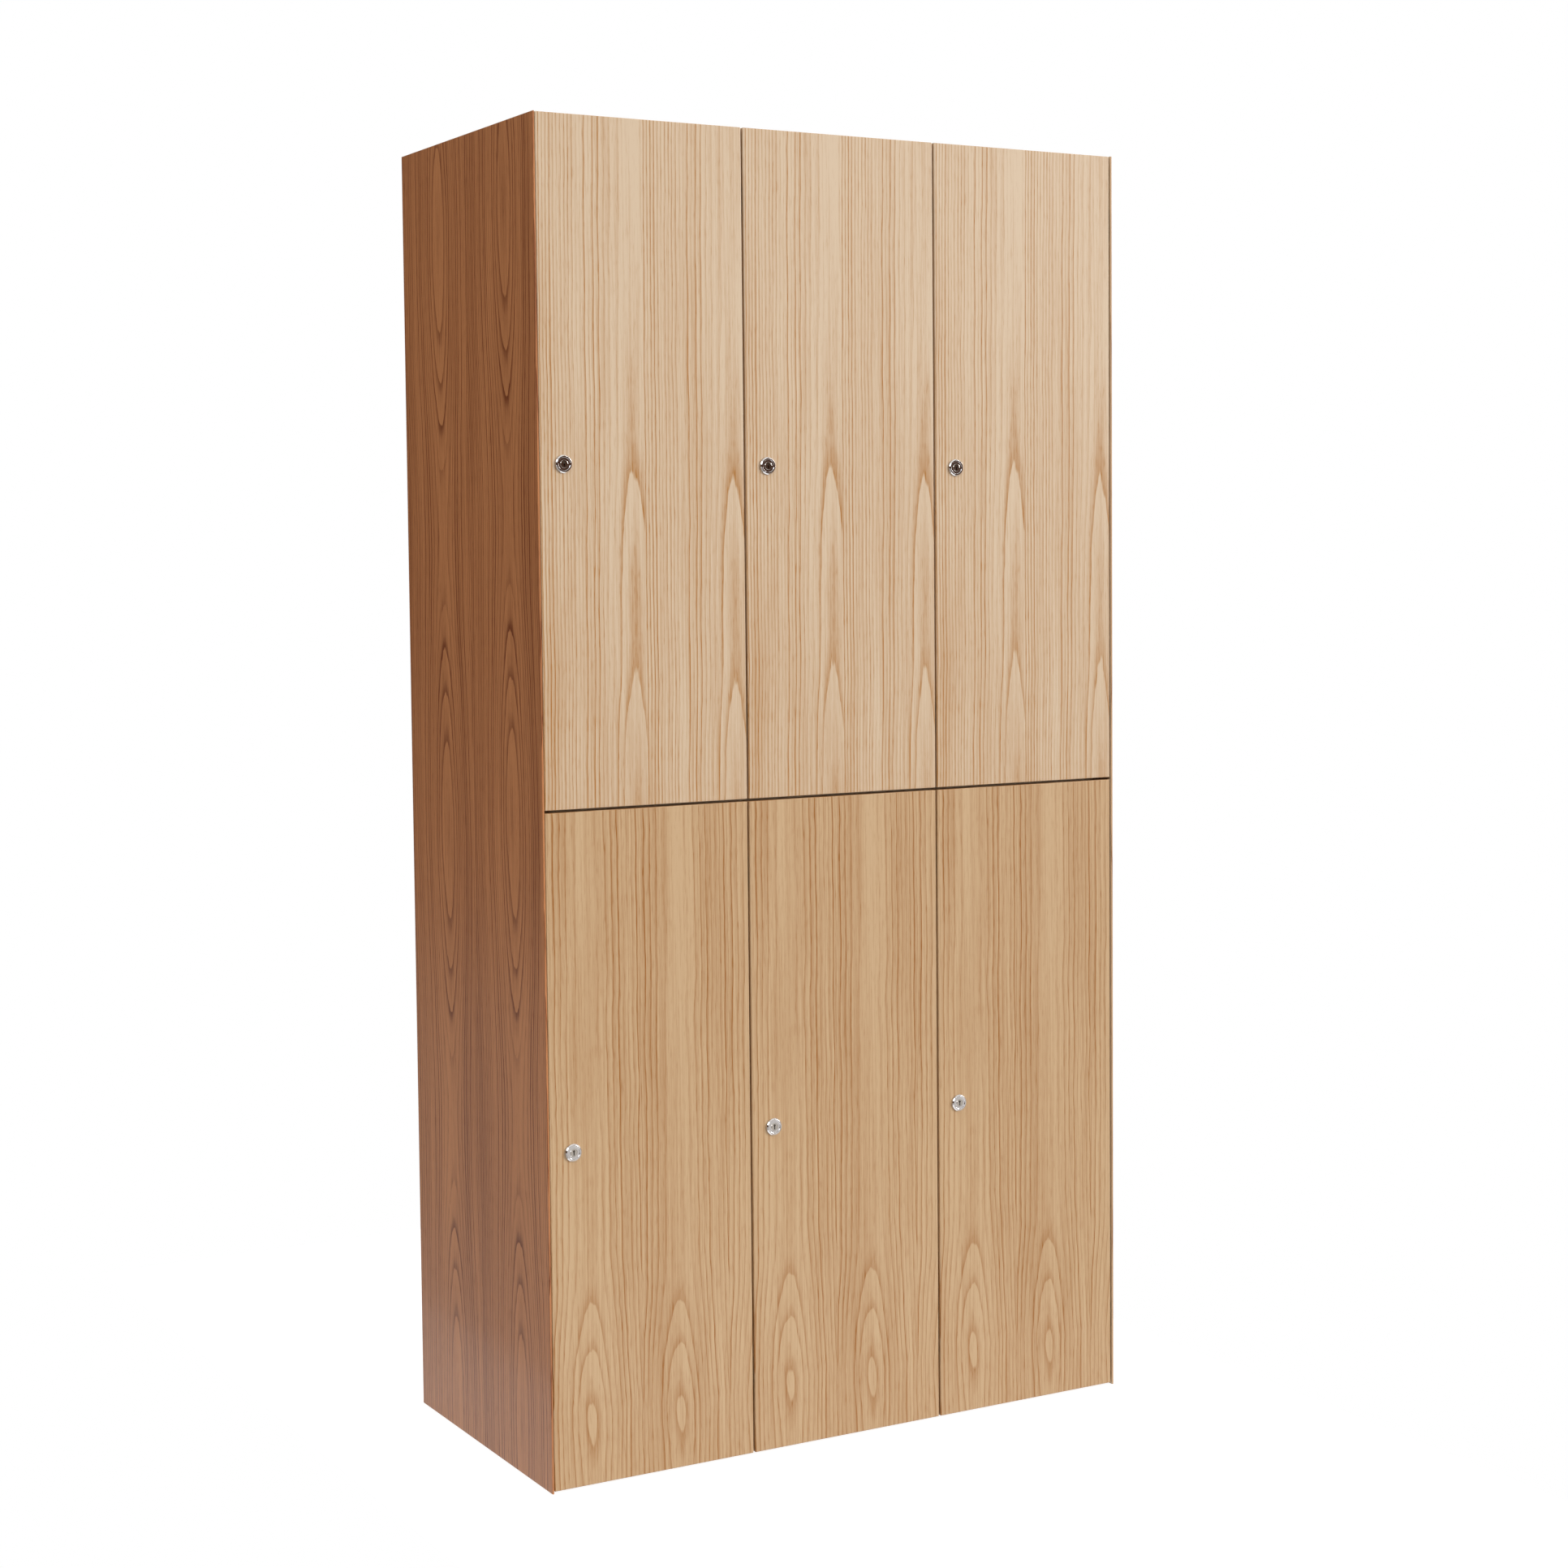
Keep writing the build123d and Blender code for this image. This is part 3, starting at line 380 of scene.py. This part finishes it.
# ---------------------------------------------------------------- boards inside
def laminate(name, light, dark, grain):
    """Printed pale laminate, its grain stretched by three scales, with a fine orange peel."""
    tone_scale, peel_scale = 3.0, 1500.0
    grain_share, tone_share = 0.7, 0.3
    made, t = material(name)
    place = t.here()
    print_lines = t.between(t.noise(t.stretch(place, grain), 1.0, 4.0, FINE_ROUGHNESS), 0.3, 0.7)
    tone = t.noise(place, tone_scale)
    share = t.add(t.times(print_lines, grain_share), t.times(tone, tone_share))
    t.finish(
        base_color=t.mix(share, light, dark),
        roughness=t.line(print_lines, 0.10, 0.42),
        normal=t.bump(t.noise(place, peel_scale, 1.0), 0.03 * MM, 0.5),
    )
    return made


def hardboard():
    """The back panel: pressed fibre with small flecks."""
    cloud_scale, fibre_scale, fleck_scale = 5.0, 420.0, 900.0
    fleck_edges = (0.66, 0.74)  # in the noise
    made, t = material("hardboard")
    place = t.here()
    clouds = t.noise(place, cloud_scale, 3.0)
    fibres = t.noise(place, fibre_scale, 3.0, 0.7)
    flecks = t.between(t.noise(place, fleck_scale, 1.0), *fleck_edges)
    share = t.add(t.times(clouds, 0.5), t.times(fibres, 0.5))
    ground = t.mix(share, colour(204, 178, 142), colour(170, 141, 104))
    t.finish(
        base_color=t.mix(t.times(flecks, 0.5), ground, colour(120, 88, 58)),
        roughness=t.line(fibres, 0.15, 0.62),
        normal=t.bump(fibres, 0.08 * MM, 0.5),
    )
    return made


def dress_boards():
    """Every board behind the doors."""
    upright = laminate("laminate_upright", LINING_LIGHT, LINING_DARK, (120.0, 120.0, 3.0))
    level = laminate("laminate_level", LINING_LIGHT, LINING_DARK, (3.0, 120.0, 120.0))
    dress("partition_1", upright)
    dress("partition_2", upright)
    dress("strike_blocks", upright)
    for node in ("top_panel", "bottom_panel", "anchor_rails"):
        dress(node, level)
    for column in COLUMNS:
        dress(f"tier_shelf_{column}", level)
    dress("back_panel", hardboard())


# ---------------------------------------------------------------- metal, rubber, plastic
def metal(name, shade, roughness, brushed=(60.0, 60.0, 60.0), wear=0.06, depth=0.01):
    """Plated metal: cloudy in colour and gloss, with fine marks stretched by three scales."""
    mark_scale, cloud_scale, darkest = 10.0, 55.0, 0.72
    made, t = material(name)
    place = t.here()
    lines = t.noise(t.stretch(place, brushed), mark_scale, 3.0, FINE_ROUGHNESS)
    clouds = t.noise(place, cloud_scale, 3.0)
    darker = tuple(darkest * part for part in shade[:3]) + (1.0,)
    t.finish(
        base_color=t.mix(t.times(clouds, 0.6), shade, darker),
        metallic=1.0,
        roughness=t.line(clouds, wear, roughness - wear / 2),
        normal=t.bump(lines, depth * MM, 0.4),
    )
    return made


def turned_metal(name, axes, shade, roughness):
    """Metal turned on a lathe: faint rings round each axis, which runs along Y."""
    ring_scale, cloud_scale = 9000.0, 160.0
    made, t = material(name)
    x, _, z = t.parts(t.here())
    (pitch_x, first_x), (pitch_z, first_z) = axes
    dx = t.math("WRAP", t.less(x, first_x), pitch_x / 2, -pitch_x / 2)
    dz = t.math("WRAP", t.less(z, first_z), pitch_z / 2, -pitch_z / 2)
    radius = t.distance(dx, dz)
    rings = t.noise(t.vector(t.times(radius, ring_scale), 0.0, 0.0))
    clouds = t.noise(t.here(), cloud_scale)
    t.finish(
        base_color=shade,
        metallic=1.0,
        roughness=t.line(clouds, 0.05, roughness),
        normal=t.bump(rings, 0.004 * MM, 0.35),
    )
    return made


def rubber():
    """The door buffers: soft, grey and slightly milky."""
    cloud_scale = 400.0
    made, t = material("buffer_rubber")
    clouds = t.noise(t.here(), cloud_scale)
    t.finish(
        base_color=t.mix(clouds, colour(214, 212, 208), colour(186, 184, 180)),
        roughness=t.line(clouds, 0.15, 0.45),
        normal=t.bump(clouds, 0.02 * MM, 0.5),
    )
    return made


def moulded_plastic():
    """The lock cases: black and slightly cloudy, with a spark-eroded texture."""
    grain_scale, cloud_scale = 1400.0, 30.0
    made, t = material("moulded_plastic")
    place = t.here()
    grain = t.noise(place, grain_scale, 2.0, FINE_ROUGHNESS)
    clouds = t.noise(place, cloud_scale, 3.0)
    t.finish(
        base_color=t.mix(clouds, colour(34, 35, 37), colour(52, 53, 55)),
        roughness=t.line(grain, 0.22, 0.42),
        normal=t.bump(grain, 0.06 * MM, 0.7),
    )
    return made


def lock_axes():
    """The pitch and first place of the locks' axes, across and up."""
    def centre(number):
        low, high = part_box(f"lock_cylinder_{number}")
        return (low + high) / 2

    first, second, below = centre(1), centre(2), centre(4)
    return (second.x - first.x, first.x), (first.z - below.z, first.z)


def dress_metalwork():
    """Locks, hinges, hooks and fastenings."""
    axes = lock_axes()
    chrome = turned_metal("lock_chrome", axes, colour(226, 226, 228), 0.07)
    nickel = turned_metal("plug_nickel", axes, colour(206, 202, 196), 0.08)
    plated = metal("hinge_nickel", colour(206, 204, 200), 0.26, (8.0, 60.0, 60.0))
    zinc = metal("bolt_zinc", colour(196, 198, 200), 0.30, (6.0, 80.0, 80.0), 0.12)
    brass = metal("gate_brass", colour(206, 174, 106), 0.26, (60.0, 60.0, 8.0), 0.10)
    cast = metal("cam_zinc", colour(176, 176, 172), 0.42, wear=0.16, depth=0.05)
    screw = metal("screw_zinc", colour(204, 202, 192), 0.28, wear=0.12)
    hook = metal("hook_chrome", colour(222, 222, 224), 0.12)
    plastic = moulded_plastic()
    for number in DOORS:
        dress(f"lock_cylinder_{number}", chrome)
        dress(f"lock_plug_{number}", nickel)
        dress(f"lock_bolt_{number}", zinc)
        dress(f"coin_gate_{number}", brass)
        dress(f"lock_case_{number}", plastic)
        dress(f"hinge_leaf_{number}", plated)
    dress("hinge_arms", plated)
    dress("strike_plates", plated)
    dress("coat_hooks", hook)
    dress("cam_fittings", cast)
    dress("case_screws", screw)
    dress("door_buffers", rubber())


# ---------------------------------------------------------------- camera
FOCAL_LENGTH, SENSOR = 61.73, 36.0  # in millimetres
CAMERA_PLACE = (-1.9252, -3.4493, 1.2531)
CAMERA_PITCH, CAMERA_YAW, CAMERA_ROLL = -0.0623, 0.5161, -0.0091
CAMERA_SHIFT = -0.040


def add_camera():
    """The photographer's view: at chest height, in front and to the left."""
    data = bpy.data.cameras.new("camera")
    data.lens = FOCAL_LENGTH
    data.sensor_width = SENSOR
    data.shift_y = CAMERA_SHIFT
    data.dof.use_dof = False
    camera = bpy.data.objects.new("camera", data)
    turn = Matrix.Rotation(-CAMERA_YAW, 4, "Z")
    raise_up = Matrix.Rotation(math.pi / 2 + CAMERA_PITCH, 4, "X")
    roll = Matrix.Rotation(CAMERA_ROLL, 4, "Z")
    camera.matrix_world = Matrix.Translation(CAMERA_PLACE) @ turn @ raise_up @ roll
    bpy.context.scene.collection.objects.link(camera)
    bpy.context.scene.camera = camera


# ---------------------------------------------------------------- light
KEY_FROM = (0.80, -0.56, 0.26)
KEY_ANGLE, KEY_STRENGTH = math.radians(28.0), 3.03
KEY_COLOUR = (1.0, 0.975, 0.94)
# A window's direction, the angles where it starts to fade and ends, and its strength.
LEFT_WINDOW = (Vector((-0.70, -0.52, 0.49)), math.radians(11.0), math.radians(16.0), 4.0)
BACK_WINDOW = (Vector((0.50, 0.78, 0.38)), math.radians(18.0), math.radians(30.0), 2.2)
WHITE = (1.0, 1.0, 1.0, 1.0)
SKY_DARK, SKY_LIGHT = (0.075, 0.035, 0.021, 1.0), (1.0, 0.955, 0.90, 1.0)
# How light the sky is, from straight down (0) past the horizon (0.5) to straight up (1).
SKY_STOPS = [
    (0.0, 0.40), (0.36, 0.40), (0.38, 0.66), (0.41, 0.66),
    (0.44, 0.0), (0.58, 0.0), (0.70, 0.45), (1.0, 1.0),
]
FLOOR_SIZE = (1.34, 2.4)
FLOOR_DROP = 0.5 * MM
FLOOR_GREY, FLOOR_GLOW = (0.32, 0.32, 0.32, 1.0), 0.86
PAPER_SCALE = 40.0


def add_key():
    """One large, soft and distant light, in front and well to the right."""
    data = bpy.data.lights.new("key", "SUN")
    data.angle = KEY_ANGLE
    data.energy = KEY_STRENGTH
    data.color = KEY_COLOUR
    key = bpy.data.objects.new("key", data)
    key.matrix_world = Vector(KEY_FROM).to_track_quat("Z", "Y").to_matrix().to_4x4()
    bpy.context.scene.collection.objects.link(key)


def add_world():
    """A white surround for the camera. For all else, a sky that is dark brown round the
    horizon, so that the chrome reads as chrome, with a soft window at the left and one behind."""
    world = bpy.data.worlds.new("studio")
    bpy.context.scene.world = world
    t = Tree(world)
    direction = t.node("ShaderNodeTexCoord").outputs["Generated"]
    height = t.between(t.parts(direction)[2], -1.0, 1.0)
    fill = t.mix(t.ramp(height, SKY_STOPS), SKY_DARK, SKY_LIGHT)
    for place, inner, outer, strength in (LEFT_WINDOW, BACK_WINDOW):
        inputs = {0: direction, 1: place.normalized()}
        toward = t.node("ShaderNodeVectorMath", inputs, operation="DOT_PRODUCT").outputs["Value"]
        window = t.between(toward, math.cos(outer), math.cos(inner))
        fill = t.mix(window, fill, (strength, strength, strength, 1.0))
    seen = t.node("ShaderNodeLightPath").outputs["Is Camera Ray"]
    background = t.node("ShaderNodeBackground", {"Color": t.mix(seen, fill, WHITE)})
    t.node("ShaderNodeOutputWorld", {"Surface": background.outputs[0]})


def add_floor():
    """A white lit floor. It shows in reflections, and casts no light of its own on the wood."""
    mesh = bpy.data.meshes.new("floor")
    half_x, half_y = (side / 2 for side in FLOOR_SIZE)
    corners = [(x * half_x, y * half_y, 0.0) for x, y in ((-1, -1), (1, -1), (1, 1), (-1, 1))]
    mesh.from_pydata(corners, [], [(0, 1, 2, 3)])
    floor = bpy.data.objects.new("floor", mesh)
    floor.location.z = -FLOOR_DROP
    bpy.context.scene.collection.objects.link(floor)
    made, t = material("floor_white")
    paper = t.noise(t.here(), PAPER_SCALE)
    t.finish(
        base_color=FLOOR_GREY,
        roughness=t.line(paper, 0.1, 0.85),
        specular_ior_level=0.0,
        emission_color=WHITE,
        emission_strength=FLOOR_GLOW,
    )
    mesh.materials.append(made)
    floor.visible_diffuse = False
    floor.visible_shadow = False


dress_oak()
dress_boards()
dress_metalwork()
add_camera()
add_key()
add_world()
add_floor()
bpy.context.scene.view_settings.view_transform = "Standard"
